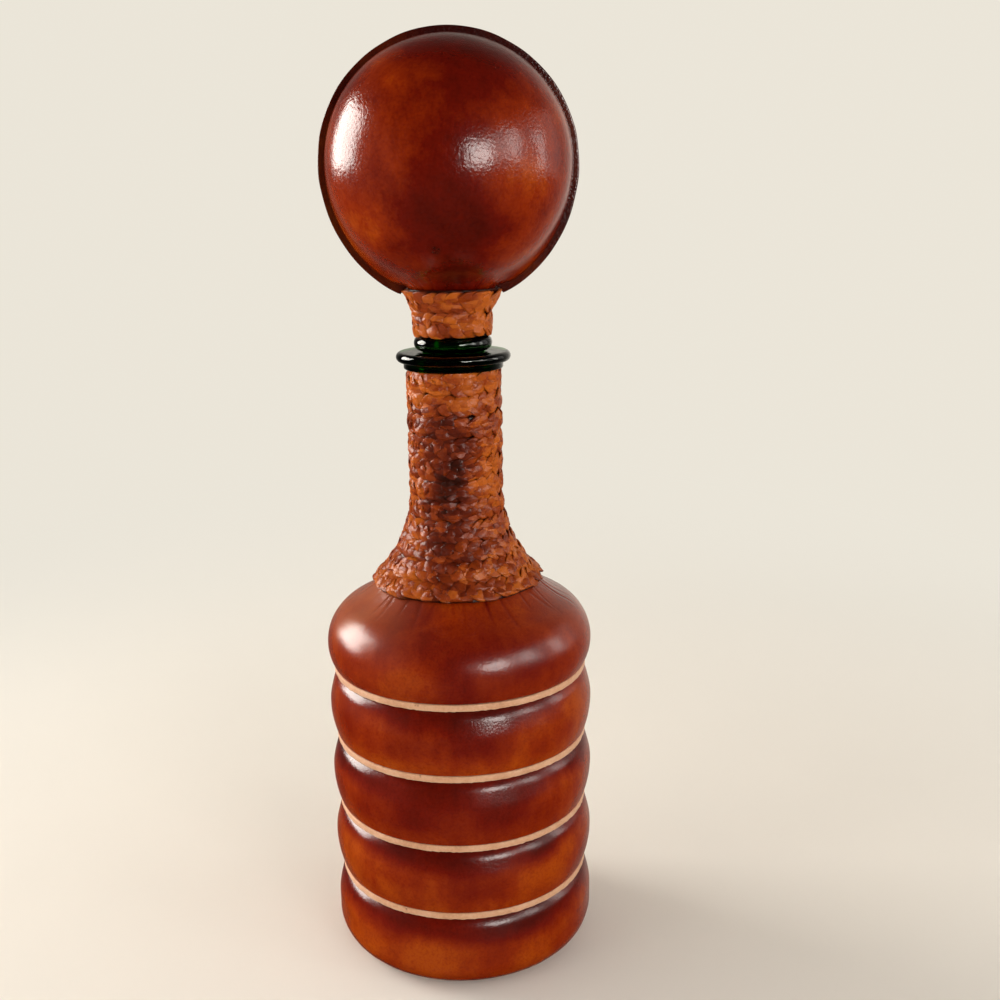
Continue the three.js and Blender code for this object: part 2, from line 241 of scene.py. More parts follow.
def grid_faces(rows, columns, wrap_rows):
    """Quads of a grid whose columns go round and close."""
    row, column = np.mgrid[:rows if wrap_rows else rows - 1, :columns]
    corners = [(row + i) % rows * columns + (column + j) % columns
               for i, j in ((0, 0), (1, 0), (1, 1), (0, 1))]
    return np.stack(corners, axis=-1).reshape(-1, 4).tolist()


def new_object(name, data):
    made = bpy.data.objects.new(name, data)
    scene.collection.objects.link(made)
    return made


def add_piece(name, points, faces, material, solid, body, attributes):
    """A closed smooth mesh that stands for a CAD node and rides on its body."""
    mesh = bpy.data.meshes.new(name)
    mesh.from_pydata(np.asarray(points).reshape(-1, 3).tolist(), [], faces)
    for key, values in attributes.items():
        layer = mesh.attributes.new(key, "FLOAT", "POINT")
        layer.data.foreach_set("value", np.asarray(values, np.float32).ravel())
    shape = bmesh.new()
    shape.from_mesh(mesh)
    bmesh.ops.remove_doubles(shape, verts=shape.verts, dist=MERGE_LENGTH)
    bmesh.ops.dissolve_degenerate(shape, edges=shape.edges, dist=THIN_LENGTH)
    bmesh.ops.recalc_face_normals(shape, faces=shape.faces)
    for face in shape.faces:
        face.smooth = True
    shape.to_mesh(mesh)
    shape.free()
    mesh.materials.append(material)
    piece = new_object(name, mesh)
    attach(piece, body)
    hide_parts(solid)


def polar(r, angle, z):
    """Points at a radius, an angle about Z and a height."""
    return np.stack([r * np.cos(angle), r * np.sin(angle), z + 0 * angle], axis=-1)


def radius_of(points):
    return np.hypot(points[..., 0], points[..., 1])


def angle_from(points, centre):
    """Angle of each point about Z from a centre direction, from -pi to pi."""
    angle = np.arctan2(points[..., 1], points[..., 0]) - centre
    return (angle + pi) % (2 * pi) - pi


def turn(profile, angles, offset=None):
    """Points of a profile turned about Z, moved out along its normals by offset(points)."""
    r, z = profile.T
    points = polar(r, angles[:, None], z)
    if offset is None:
        return points
    normal = normals_of(profile)
    out = offset(points)
    return polar(r + out * normal[:, 0], angles[:, None], z + out * normal[:, 1])


def even_angles(steps):
    return np.arange(steps) * (2 * pi / steps)


def seamed_angles(steps):
    """Angles round a band, with extra ones close to its seam at the back."""
    near = BACK + np.linspace(-SEAM_SPAN, SEAM_SPAN, SEAM_STEPS)
    rest = np.linspace(near[-1], near[0] + 2 * pi, steps - SEAM_STEPS + 2)[1:-1]
    return np.concatenate([near, rest])


def add_ring(name, profile, angles, material, solid, offset, rules=None, body="bottle"):
    """A turned ring with a closed section, and attributes by rules of its points."""
    points = turn(profile, angles, offset)
    faces = grid_faces(len(angles), len(profile), True)
    made = {key: rule(points) for key, rule in (rules or {}).items()}
    add_piece(name, points, faces, material, solid, body, made)


def add_turned(name, profile, steps, material, solid, body="bottle"):
    """A turned solid whose profile starts and ends on the axis."""
    columns = len(profile)
    faces = [f for i, f in enumerate(grid_faces(steps, columns, True)) if (i + 1) % columns]
    points = turn(profile, even_angles(steps))
    add_piece(name, points, faces, material, solid, body, {})


# Materials


class Nodes:
    """The nodes of a material or a world, and makers of more of them."""

    def __init__(self, owner, coords):
        owner.use_nodes = True
        self.tree = owner.node_tree
        self.tree.nodes.clear()
        self.coords = self.node("TexCoord").outputs[coords]

    def feed(self, socket, value):
        """Links another socket to this one, or sets its value."""
        if isinstance(value, bpy.types.NodeSocket):
            self.tree.links.new(value, socket)
        else:
            socket.default_value = value

    def node(self, kind, inputs=None, **settings):
        made = self.tree.nodes.new("ShaderNode" + kind)
        for key, value in settings.items():
            setattr(made, key, value)
        for key, value in (inputs or {}).items():
            self.feed(made.inputs[key], value)
        return made

    def clouds(self, scale, detail, rough, stretch=(1, 1, 1), kind="FBM"):
        """Noise from about 0 to 1 with features of 1 / scale metres."""
        place = self.node("Mapping", {"Vector": self.coords, "Scale": stretch}).outputs["Vector"]
        return self.node("TexNoise", {
            "Vector": place, "Scale": scale, "Detail": detail, "Roughness": rough,
        }, noise_type=kind).outputs["Fac"]

    def maths(self, operation, a, b):
        return self.node("Math", {0: a, 1: b}, operation=operation).outputs[0]

    def vector(self, operation, a, b=(0, 0, 0)):
        made = self.node("VectorMath", {0: a, 1: b}, operation=operation)
        return made.outputs["Value" if operation in ("DOT_PRODUCT", "LENGTH") else "Vector"]

    def weighted(self, *terms):
        """Sum of (socket, weight) pairs and plain numbers."""
        total = 0.0
        for term in terms:
            if isinstance(term, tuple):
                term = self.maths("MULTIPLY", *term)
            total = self.maths("ADD", total, term)
        return total

    def ramp(self, factor, stops):
        """A colour ramp through pairs of place and colour."""
        made = self.node("ValToRGB", {"Fac": factor})
        points = made.color_ramp.elements
        while len(points) < len(stops):
            points.new(0.5)
        for point, (place, colour) in zip(points, stops):
            point.position = place
            point.color = (*colour, 1)
        return made.outputs["Color"]

    def between(self, value, low, high, way="LINEAR"):
        """0 up to low, and 1 from high on."""
        return self.node("MapRange", {
            "Value": value, "From Min": low, "From Max": high,
        }, clamp=True, interpolation_type=way).outputs["Result"]

    def tint(self, colour, factor, shade, way="MULTIPLY"):
        """A colour multiplied by a shade, or turned into it, where the factor is 1."""
        return self.node("Mix", {
            0: factor, 6: colour, 7: (*shade, 1),
        }, data_type="RGBA", blend_type=way).outputs[2]

    def attribute(self, name):
        return self.node("Attribute", attribute_name=name).outputs["Fac"]

    def bump(self, height, distance):
        return self.node("Bump", {"Height": height, "Distance": distance}).outputs["Normal"]

    def warped(self, place, size, density, shift, centre):
        """Coordinates shifted to and fro by noise, in shares of a cell's size."""
        drift = self.node("TexNoise", {"Vector": place, "Scale": density / size, "Detail": 2})
        way = self.vector("SUBTRACT", drift.outputs["Color"], (centre,) * 3)
        return self.vector("ADD", place, self.vector("MULTIPLY", way, (shift * size,) * 3))

    def seen_rays(self):
        """1 for what the camera sees directly or through glass."""
        path = self.node("LightPath").outputs
        return self.maths("MAXIMUM", path["Is Camera Ray"], path["Is Transmission Ray"])

    def mixed(self, factor, first, second):
        return self.node("MixShader", {0: factor, 1: first, 2: second}).outputs[0]


class Look(Nodes):
    """A material with one main shader, in the object's coordinates."""

    def __init__(self, name):
        self.material = bpy.data.materials.new(name)
        super().__init__(self.material, "Object")
        self.shader = self.node("BsdfPrincipled")
        self.output = self.node("OutputMaterial", {"Surface": self.shader.outputs["BSDF"]})

    def coated(self, colour, rough, normal, weight, gloss):
        """Leather whose gloss comes from a coat alone."""
        return self.finish(
            base_color=colour, roughness=rough, normal=normal, specular_ior_level=0.0,
            coat_normal=normal, coat_weight=weight, coat_roughness=gloss, coat_ior=LEATHER_IOR)

    def finish(self, **sockets):
        """Feeds the shader's sockets and gives the material."""
        for key, value in sockets.items():
            name = key.replace("_", " ").title().replace("Ior", "IOR")
            self.feed(self.shader.inputs[name], value)
        return self.material


GRAIN_TURN = (0.7, 0.4, 1.1)
GRAIN_SHADE = (0.82, 0.72, 0.7)
# Dark of the edge attribute: the bands' seam joints and the flange's dyed edge, and a painted
# shadow on the ball beside the flange
FLANGE_SHADE = (0.2, 0.24, 0.6)
# Pale tan of the painted sheen on the shoulder
SHEEN_COLOUR = (0.42, 0.155, 0.078)
FACET_SIZE = 5.2 * MM
FACET_FLAT = 2.3
# Painted shade in the windings' creases and on their core
CREASE_SHADE = (0.22, 0.18, 0.2)
NICK_SHADE = (0.35, 0.24, 0.17)
PIT_SHADE = (0.25, 0.17, 0.12)
GLASS_TINT = (0.15, 0.62, 0.05)
GLASS_DENSITY = 680
LEATHER_IOR = 1.55
GLASS_IOR = 1.52

# Colour stops from the lightest to the darkest, where staining and painted shade are heaviest
BODY_STOPS = [
    (0.05, (0.34, 0.05, 0.0006)), (0.33, (0.235, 0.02, 0.0003)),
    (0.62, (0.14, 0.0052, 0.0003)), (0.95, (0.072, 0.0028, 0.0004)),
]
BALL_STOPS = [
    (0.05, (0.36, 0.056, 0.0006)), (0.32, (0.225, 0.019, 0.0003)),
    (0.6, (0.112, 0.0038, 0.0003)), (0.95, (0.058, 0.0026, 0.0004)),
]
PLAIT_STOPS = [
    (0.0, (0.42, 0.092, 0.007)), (0.3, (0.24, 0.034, 0.003)),
    (0.62, (0.1, 0.01, 0.0018)), (0.95, (0.03, 0.0045, 0.0015)),
]

# Colour stops from the darkest to the lightest
LACE_STOPS = [(0.1, (0.36, 0.16, 0.075)), (0.45, (0.57, 0.3, 0.165)), (0.9, (0.74, 0.47, 0.31))]
SOLE_STOPS = [(0.15, (0.06, 0.022, 0.01)), (0.55, (0.14, 0.055, 0.022)), (0.9, (0.23, 0.1, 0.045))]
CORK_STOPS = [(0.25, (0.3, 0.16, 0.07)), (0.6, (0.55, 0.34, 0.17)), (0.85, (0.66, 0.45, 0.25))]
GLASS_STOPS = [(0.2, (0.62, 0.86, 0.55)), (0.8, (0.7, 0.92, 0.62))]


def grain_cells(look, size):
    """Pebble grain: 0 in the middle of a cell of that size, and about 1 between cells."""
    turned = look.node("Mapping", {"Vector": look.coords, "Rotation": GRAIN_TURN}).outputs["Vector"]
    return look.node("TexVoronoi", {
        "Vector": look.warped(turned, size, 0.6, 1.6, 0.5), "Scale": 1 / size, "Smoothness": 0.7,
    }, feature="SMOOTH_F1").outputs["Distance"]


def stained_leather(name, grain, depth, gloss, stops):
    """Glossy antique-stained leather: mottled colour, faint brush marks and a pebble grain, with
    painted shade and painted sheen given by its mesh.
    """
    look = Look(name)
    mottle = look.clouds(32, 5, 0.6)
    patches = look.clouds(110, 4, 0.6)
    brushed = look.clouds(60, 3, 0.6, (3.5, 3.5, 0.5))
    specks = look.clouds(900, 2, 0.7)
    fine = look.clouds(1.6 / grain, 3, 0.6)
    waves = look.clouds(260, 3, 0.5)
    cells = grain_cells(look, grain)
    # The mesh's attribute darkens the colour, both by stain and by painted shade.
    colour = look.ramp(look.weighted(
        (mottle, 0.9), (patches, 0.34), (brushed, 0.25), (specks, 0.08),
        (look.attribute("stain_and_shade"), 0.6), -0.56), stops)
    colour = look.tint(colour, look.between(cells, 0.4, 0.8), GRAIN_SHADE)
    # Edge attribute: dark seam joints and dyed flange edge, and a painted shadow on the ball beside
    # the flange
    colour = look.tint(colour, look.attribute("edge"), FLANGE_SHADE)
    # Painted sheen: a pale tan mixed in where the mesh marks it
    colour = look.tint(colour, look.attribute("painted_sheen"), SHEEN_COLOUR, "MIX")
    normal = look.bump(look.weighted((cells, -0.6), (fine, 0.3), (waves, 0.6)), depth)
    rough = look.weighted((patches, 0.2), (fine, 0.12), 0.34)
    return look.coated(colour, rough, normal, 1.0, gloss)


def crumple(look, size):
    """Height and shade of flat crumpled facets, each with its own tilt."""
    placed = look.node("Mapping", {"Vector": look.coords, "Scale": (1, 1, FACET_FLAT)})
    moved = look.warped(placed.outputs["Vector"], size, 0.5, 1.2, 0.0)
    cells = look.node("TexVoronoi", {"Vector": moved, "Scale": 1 / size}).outputs
    across = look.vector("SUBTRACT", moved, cells["Position"])
    tilt = look.vector("SUBTRACT", cells["Color"], (0.5, 0.5, 0.5))
    shade = look.node("SeparateColor", {0: cells["Color"]}).outputs[0]
    return look.vector("DOT_PRODUCT", across, tilt), shade


def plaited_leather(name):
    """Crinkled glossy thong: golden tan to dark brown, with painted shade in the creases between
    strands.
    """
    look = Look(name)
    patches = look.clouds(130, 4, 0.6)
    specks = look.clouds(700, 3, 0.65)
    creases = look.clouds(300, 3, 0.5, (1, 1, 1.5), "RIDGED_MULTIFRACTAL")
    fine = look.clouds(1500, 3, 0.6)
    planes, shade = crumple(look, FACET_SIZE)
    colour = look.ramp(look.weighted(
        (look.attribute("tone"), 0.9), (patches, 0.6), (specks, 0.3), (shade, 0.34), -0.58,
    ), PLAIT_STOPS)
    # Painted shade from the edge attribute: creases, strand rims and the core between strands
    colour = look.tint(colour, look.attribute("edge"), CREASE_SHADE)
    height = look.weighted((planes, 0.3), (creases, 0.16 * MM), (fine, 0.07 * MM))
    normal = look.bump(height, 1.0)
    rough = look.weighted((specks, 0.25), 0.24)
    return look.coated(colour, rough, normal, 0.55, 0.32)


def natural_leather(name):
    """Undyed cut leather: pale, matt and fibrous, with small dark nicks."""
    look = Look(name)
    patches = look.clouds(90, 4, 0.6)
    fibres = look.clouds(900, 4, 0.7)
    nicks = look.clouds(420, 3, 0.6)
    colour = look.ramp(look.weighted((patches, 0.6), (fibres, 0.7), -0.15), LACE_STOPS)
    return look.finish(
        base_color=look.tint(colour, look.between(nicks, 0.68, 0.78), NICK_SHADE),
        roughness=look.weighted((fibres, 0.2), 0.42),
        normal=look.bump(look.weighted((fibres, 0.7), (nicks, -0.3)), 0.3 * MM),
        sheen_weight=0.15, sheen_roughness=0.5)


def sole_leather(name):
    """Plain brown leather with a suede nap."""
    look = Look(name)
    patches = look.clouds(70, 5, 0.6)
    nap = look.clouds(1400, 4, 0.7)
    return look.finish(
        base_color=look.ramp(look.weighted((patches, 0.7), (nap, 0.5), -0.1), SOLE_STOPS),
        roughness=look.weighted((nap, 0.3), 0.65), normal=look.bump(nap, 0.2 * MM),
        sheen_weight=0.25, sheen_roughness=0.4)


def cork_bark(name):
    """Natural cork with dark lenticels."""
    look = Look(name)
    body = look.clouds(450, 5, 0.65)
    pits = look.clouds(260, 2, 0.5, (1, 1, 0.45))
    colour = look.ramp(body, CORK_STOPS)
    return look.finish(
        base_color=look.tint(colour, look.between(pits, 0.62, 0.72), PIT_SHADE),
        roughness=look.weighted((body, 0.2), 0.7),
        normal=look.bump(look.weighted((body, 0.6), (pits, -0.6)), 0.35 * MM))


def green_glass(name):
    """Dark green bottle glass, a little uneven, which takes its colour from its thickness."""
    look = Look(name)
    ripple = look.clouds(140, 3, 0.5)
    smears = look.clouds(60, 4, 0.6)
    depth = look.node("VolumeAbsorption", {"Color": (*GLASS_TINT, 1), "Density": GLASS_DENSITY})
    look.feed(look.output.inputs["Volume"], depth.outputs["Volume"])
    return look.finish(
        base_color=look.ramp(smears, GLASS_STOPS), roughness=look.weighted((smears, 0.04), 0.015),
        ior=GLASS_IOR, transmission_weight=1.0, normal=look.bump(ripple, 0.15 * MM))


body_leather = stained_leather("stained leather", 0.9 * MM, 0.07 * MM, 0.21, BODY_STOPS)
shoulder_leather = stained_leather("shoulder leather", 0.9 * MM, 0.07 * MM, 0.23, BODY_STOPS)
ball_leather = stained_leather("ball leather", 1.25 * MM, 0.11 * MM, 0.19, BALL_STOPS)
plait = plaited_leather("plaited leather")
pale_leather = natural_leather("natural leather")
sole = sole_leather("sole leather")
cork = cork_bark("cork")
glass = green_glass("green glass")


# Leather on the body

SEAM_DEPTH = 0.7 * MM
SEAM_WIDTH = 0.35 * MM
SEAM_SWAY = 0.12 * MM
SEAM_WAVE = 4 * MM
BAND_FACE = 0.2 * MM
BAND_WAVE = 0.12 * MM
BAND_RIPPLE = 0.05 * MM
# Angles from the front: of the bands' painted front shade, and of the darker front past which the
# sides are painted lighter
FRONT_SHADE_ANGLE = radians(38)
DARK_ANGLE = radians(52)
# Painted sheen on the shoulder: its turn from the front to each side, and its width
SHEEN_TURN = radians(68)
SHEEN_ANGLE = radians(32)
SHOULDER_RUN = 1.5
LACE_RAGGED = 0.22 * MM
LACE_ROUND = 0.7 * MM

# For each band: share of its height where its dark top starts, tone below that, painted front
# shade, seed
BAND_STAIN_AND_SHADE = {
    "base_cover": (0.48, 0.0, 0.0, 60),
    "belt_lower": (0.52, 0.05, 0.1, 20),
    "belt_middle": (0.46, 0.45, 0.6, 30),
    "belt_upper": (0.58, 0.0, 0.6, 40),
}


def back_seam(points):
    """Depth of the butt joint where a band's two ends meet at the back."""
    across = angle_from(points, BACK) * radius_of(points)
    sway = SEAM_SWAY * np.sin(points[..., 2] / SEAM_WAVE)
    return SEAM_DEPTH * bell(across - sway, SEAM_WIDTH)


def seam_edge(points):
    return back_seam(points) / SEAM_DEPTH * (radius_of(points) > leather_r + MM)


def band_offset(seed):
    """Slight unevenness of a leather band, none on its inner face, and its seam at the back."""
    def offset(points):
        outer = smooth((radius_of(points) - leather_r - BAND_FACE) / MM)
        waves = BAND_WAVE * noise(points, 17 * MM, seed)
        waves += BAND_RIPPLE * noise(points, 5 * MM, seed + 1)
        return outer * (waves - back_seam(points))
    return offset


def upper_stain_and_shade(low, high, limit, tone, front_shade, seed):
    """A band's colour: darker in its upper part, a tone below, and painted shade on the front
    below; the sides are painted lighter, with a narrower dark top.
    """
    def stain_and_shade(points):
        share = (points[..., 2] - low) / (high - low)
        wave = noise(points * (1, 1, 0.2), 22 * MM, seed)
        blot = noise(points, 15 * MM, seed + 1) * smooth(share / 0.4)
        angle = angle_from(points, FRONT)
        front = bell(angle, FRONT_SHADE_ANGLE) * (1 + 0.6 * wave)
        # Painted light at the sides: less tone, a lighter colour and a narrower dark top, where
        # light from the sides falls
        side = 1 - bell(angle, DARK_ANGLE)
        upper = smooth((share - limit - 0.22 * side + 0.08 * wave) / 0.36)
        lower = tone * (1 - side) + front_shade * front * smooth((share - 0.05) / 0.4)
        return 1.1 * upper + lower * (1 - upper) - 0.12 * side + 0.25 * blot
    return stain_and_shade


def belt_profile(low_z, high_z):
    z, half = centre_of(low_z, high_z)
    inside = upright(leather_r, high_z, low_z, 7)
    return np.vstack([lower_crown(z, half), upper_crown(z, half)[1:], inside])


def base_profile(low_z, high_z):
    belt_low, belt_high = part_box("belt_lower")
    sole_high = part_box("base_disc")[1]
    _, half = centre_of(belt_low.z, belt_high.z)
    hem_r = sole_high.x + CLEARANCE
    heel_z = glass_low.z + GLASS_HEEL_R
    return np.vstack([
        [[hem_r, low_z]],
        arc(crown_r - BASE_HEEL_R, low_z + BASE_HEEL_R, BASE_HEEL_R, -90, 0, 32),
        upper_crown(high_z - half, half),
        [[leather_r, high_z]],
        arc(body_r - GLASS_HEEL_R, heel_z, GLASS_HEEL_R + CLEARANCE, 0, -90, 12),
        [[hem_r, sole_high.z]],
    ])


def add_band(solid, limit, tone, front_shade, seed):
    low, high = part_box(solid)
    profile = (base_profile if solid == "base_cover" else belt_profile)(low.z, high.z)
    name, angles = f"{solid}_leather", seamed_angles(BAND_STEPS)
    add_ring(name, profile, angles, body_leather, solid, band_offset(seed), {
        "stain_and_shade": upper_stain_and_shade(low.z, high.z, limit, tone, front_shade, seed + 2), "edge": seam_edge,
    })


class Creases:
    """Gathers in leather that is drawn in under a winding, fading away from it."""

    def __init__(self, count, depth, width, reach, seed):
        random = np.random.default_rng(seed)
        places = np.arange(count) + random.uniform(-0.38, 0.38, count)
        self.creases = list(zip(
            places * (2 * pi / count),
            depth * random.uniform(0.25, 1.0, count),
            width * random.uniform(0.6, 1.5, count),
            reach * random.uniform(0.35, 1.0, count),
            random.uniform(-0.25, 0.25, count),
        ))

    def depth_at(self, points, away):
        r = radius_of(points)
        total = np.zeros(r.shape)
        for angle, depth, width, reach, lean in self.creases:
            across = angle_from(points, angle) * r - lean * away
            fade = 1 - smooth(away / reach)
            total += depth * fade * (bell(across, width) - 0.35 * bell(across, 2.4 * width))
        return total


def add_shoulder():
    low_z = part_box("shoulder_cover")[0].z
    round_r = crown_r - LEATHER_SHOULDER_R
    angle, rise = meet(hollow_r, round_r, HOLLOW_R + LEATHER_SHOULDER_R)
    round_z = leather_neck_z - rise
    tuck = asin(SHOULDER_HEM / SHOULDER_SKIN)
    inner_tuck = atan2(HOLLOW_R * sin(tuck) - SHOULDER_SKIN, HOLLOW_R * cos(tuck))
    hem, inner_hem = 180 + degrees(tuck), 180 + degrees(inner_tuck)
    outside = np.vstack([
        lower_crown(round_z, round_z - low_z),
        arc(round_r, round_z, LEATHER_SHOULDER_R, 0, angle, 26)[1:],
        arc(hollow_r, leather_neck_z, HOLLOW_R, 180 + angle, hem, 48)[1:],
    ])
    inside = np.vstack([
        arc(hollow_r, neck_z, HOLLOW_R - CLEARANCE, inner_hem, 180 + glass_angle, 8),
        arc(glass_round_r, glass_round_z, GLASS_SHOULDER_R + CLEARANCE, glass_angle, 0, 8)[1:],
        [[leather_r, low_z]],
    ])
    foot_z = leather_neck_z - foot_drop
    creases = Creases(count=34, depth=0.55 * MM, width=0.8 * MM, reach=24 * MM, seed=11)
    uneven = band_offset(71)

    def gathered(points):
        return creases.depth_at(points, np.maximum(foot_z - points[..., 2], 0) * SHOULDER_RUN)

    def offset(points):
        out = uneven(points) - gathered(points)
        out[:, len(outside):] = 0
        return out

    # Darker on the front and most on its slope, a painted shade that leaves the sides lighter;
    # painted shade in the gathered folds; and random patches
    def stain_and_shade(points):
        wave = noise(points, 20 * MM, 73)
        front = bell(angle_from(points, FRONT), DARK_ANGLE)
        slope = bell(points[..., 2] - round_z - 12 * MM, 9 * MM)
        folds = np.maximum(gathered(points) / MM, 0)
        return 0.1 + (0.22 + 0.32 * slope) * front + 0.32 * wave + 1.7 * folds

    def painted_sheen(points):
        """Painted sheen: a pale tan on the slope, most on the left and a little on the right, where
        light from the sides is reflected.
        """
        slope = smooth((points[..., 2] - round_z - 3 * MM) / (14 * MM))
        turned = angle_from(points, FRONT)
        left = bell(turned + SHEEN_TURN, SHEEN_ANGLE)
        right = bell(turned - SHEEN_TURN, SHEEN_ANGLE)
        return slope * (0.4 * left + 0.08 * right) * (1 + 0.4 * noise(points, 12 * MM, 75))

    profile, angles = np.vstack([outside, inside]), seamed_angles(SHOULDER_STEPS)
    solid, rules = "shoulder_cover", {"stain_and_shade": stain_and_shade, "edge": seam_edge, "painted_sheen": painted_sheen}
    add_ring("shoulder_cover_leather", profile, angles, shoulder_leather, solid, offset, rules)


def add_lace(number):
    """A flat lace with a rounded, ragged outer face."""
    solid = f"groove_lace_{number}"
    low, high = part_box(solid)
    z, half = centre_of(low.z, high.z)
    side = np.radians(np.linspace(-90, 90, 17))
    face = np.column_stack([
        high.x - LACE_ROUND * (1 - rounded(side, 0.7)[0]), z + half * rounded(side, 0.6)[1],
    ])
    profile = np.vstack([[[leather_r, low.z]], face, [[leather_r, high.z]]])
    seed = 100 + 10 * number

    def offset(points):
        outer = smooth((radius_of(points) - leather_r) / MM)
        rough = noise(points, 1.6 * MM, seed) + 0.6 * noise(points, 0.7 * MM, seed + 1)
        nick = np.maximum(noise(points, 4 * MM, seed + 2) - 0.62, 0) * 3
        return outer * (LACE_RAGGED * (0.6 * rough - nick) - back_seam(points))

    angles = seamed_angles(LACE_STEPS)
    add_ring(f"{solid}_strip", profile, angles, pale_leather, solid, offset)


def add_sole():
    low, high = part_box("base_disc")
    flat_r = high.x - CUT_EDGE
    profile = np.vstack([
        np.column_stack([np.linspace(0, flat_r, 24)[:-1], np.full(23, low.z)]),
        arc(flat_r, low.z + CUT_EDGE, CUT_EDGE, -90, 0, 4),
        arc(flat_r, high.z - CUT_EDGE, CUT_EDGE, 0, 90, 4),
        [[0, high.z]],
    ])
    add_turned("base_disc_sole", profile, TURNED_STEPS, sole, "base_disc")


# Glass and cork


def add_bottle():
    """The bottle, with its lip's radius read from the solid's own points."""
    corners = [v.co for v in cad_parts["glass_bottle"].data.vertices]
    lip_r = max(hypot(p.x, p.y) for p in corners if abs(p.z - lip_z) < LIP_ROUND)
    heel_r = body_r - GLASS_HEEL_R
    inner_heel = GLASS_HEEL_R - GLASS_WALL
    floor_z = glass_low.z + GLASS_FLOOR
    mouth_r = NECK_R - GLASS_WALL + MOUTH_ROUND
    collar_r = lip_r - LIP_PROUD
    profile = np.vstack([
        [[0, glass_low.z]],
        arc(heel_r, glass_low.z + GLASS_HEEL_R, GLASS_HEEL_R, -90, 0, 10),
        arc(glass_round_r, glass_round_z, GLASS_SHOULDER_R, 0, glass_angle, 12),
        arc(hollow_r, neck_z, HOLLOW_R, 180 + glass_angle, 180, 20)[1:],
        [[NECK_R, collar_z]],
        arc(collar_r - COLLAR_ROUND, collar_z + COLLAR_ROUND, COLLAR_ROUND, -90, 0, 5),
        arc(collar_r + LIP_CORNER, lip_z - LIP_ROUND - LIP_CORNER, LIP_CORNER, 180, 90, 3),
        arc(lip_r - LIP_ROUND, lip_z, LIP_ROUND, -90, 90, 22),
        arc(mouth_r, mouth_z - MOUTH_ROUND, MOUTH_ROUND, 90, 180, 8),
        arc(hollow_r, neck_z, HOLLOW_R + GLASS_WALL, 180, 180 + glass_angle, 20),
        arc(glass_round_r, glass_round_z, GLASS_SHOULDER_R - GLASS_WALL, glass_angle, 0, 12)[1:],
        arc(heel_r, floor_z + inner_heel, inner_heel, 0, -90, 8),
        [[0, floor_z]],
    ])
    add_turned("bottle_glass", profile, BOTTLE_STEPS, glass, "glass_bottle")


def stem_and_ball(out, low_z, cut, steps):
    """Outline of stem, fillet and ball that far outside the glass, up to a cut near the axis."""
    top = degrees(acos(cut / (ball_r + out)))
    return np.vstack([
        upright(STEM_R + out, low_z, fillet_z, steps[0] + 1)[:-1],
        arc(fillet_r, fillet_z, STEM_FILLET_R - out, 180, 180 - stem_angle, steps[1]),
        arc(0, ball_z, ball_r + out, -stem_angle, top, steps[2])[1:],
    ])


def add_stopper_glass():
    low_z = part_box("stopper_glass")[0].z
    bead_z = stem_z - 2 * BEAD_ROUND
    shank_r = NECK_R - GLASS_WALL - CLEARANCE
    peg_r = shank_r - CORK_THICK - CLEARANCE
    shank_z = bead_z - PEG_SHOULDER
    inner_r = ball_r - BALL_WALL
    bore_fillet_r = STEM_BORE_R + STEM_FILLET_R
    inner_angle, inner_drop = meet(bore_fillet_r, 0, inner_r + STEM_FILLET_R)
    profile = np.vstack([
        [[0, ball_z + inner_r]],
        arc(0, ball_z, inner_r, 90, -inner_angle, 32)[1:],
        arc(bore_fillet_r, ball_z - inner_drop, STEM_FILLET_R, 180 - inner_angle, 180, 12),
        [[STEM_BORE_R, low_z], [peg_r, low_z], [peg_r, shank_z]],
        [[shank_r, shank_z], [shank_r, bead_z]],
        arc(BEAD_R - BEAD_ROUND, bead_z + BEAD_ROUND, BEAD_ROUND, -90, 90, 24),
        stem_and_ball(0, stem_z, FLANGE_THICK / 2, STEM_STEPS),
        [[0, ball_z + ball_r]],
    ])
    add_turned("stopper_ball_glass", profile, TURNED_STEPS, glass, "stopper_glass", "stopper")


def add_cork():
    low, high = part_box("cork_sleeve")
    outer, inner = high.x - CUT_EDGE, high.x - CORK_THICK + CUT_EDGE
    lower, upper = low.z + CUT_EDGE, high.z - CUT_EDGE
    corners = ((outer, upper), (inner, upper), (inner, lower), (outer, lower))
    rounds = [arc(*corner, CUT_EDGE, 90 * i, 90 * i + 90, 4) for i, corner in enumerate(corners)]
    side = upright(high.x, lower, upper, 14)
    profile = np.vstack([side, rounds[0][1:], *rounds[1:3], rounds[3][:-1]])

    def pits(points):
        return -0.25 * MM * np.maximum(noise(points, 2.2 * MM, 301) - 0.45, 0)

    angles = even_angles(CORK_STEPS)
    add_ring("cork_sleeve_bark", profile, angles, cork, "cork_sleeve", pits, body="seal")


# Plaited windings

STRANDS = 3
STRAND_APART = 40 * MM
STRAND_WIDTH = 5.6 * MM
STRAND_THICK = 1.1 * MM
STRAND_MIDDLE = 1.95 * MM
STRAND_LIFT = 0.46 * MM
STRAND_ROLL = 0.14
STRAND_LOW = 0.05 * MM
STRAND_PROUD = 0.35 * MM
PLAIT_PERIOD = 14.5 * MM
PLAIT_SPREAD = 1.1 * MM
FOLD_STRETCH = (0.45, 1, 1)
FRAY = 0.9 * MM
FRAY_PAST = 0.6 * MM
TOP_PAST = 0.4 * MM
CORE_HEIGHT = 1.7 * MM
# Painted shade of the core where it shows between strands
CORE_SHADE = 0.8
# Painted shade on the windings' front: its turn to the left, and its width
SHADE_TURN = radians(8)
SHADE_ANGLE = radians(29)
STEP_LENGTH = 0.55 * MM


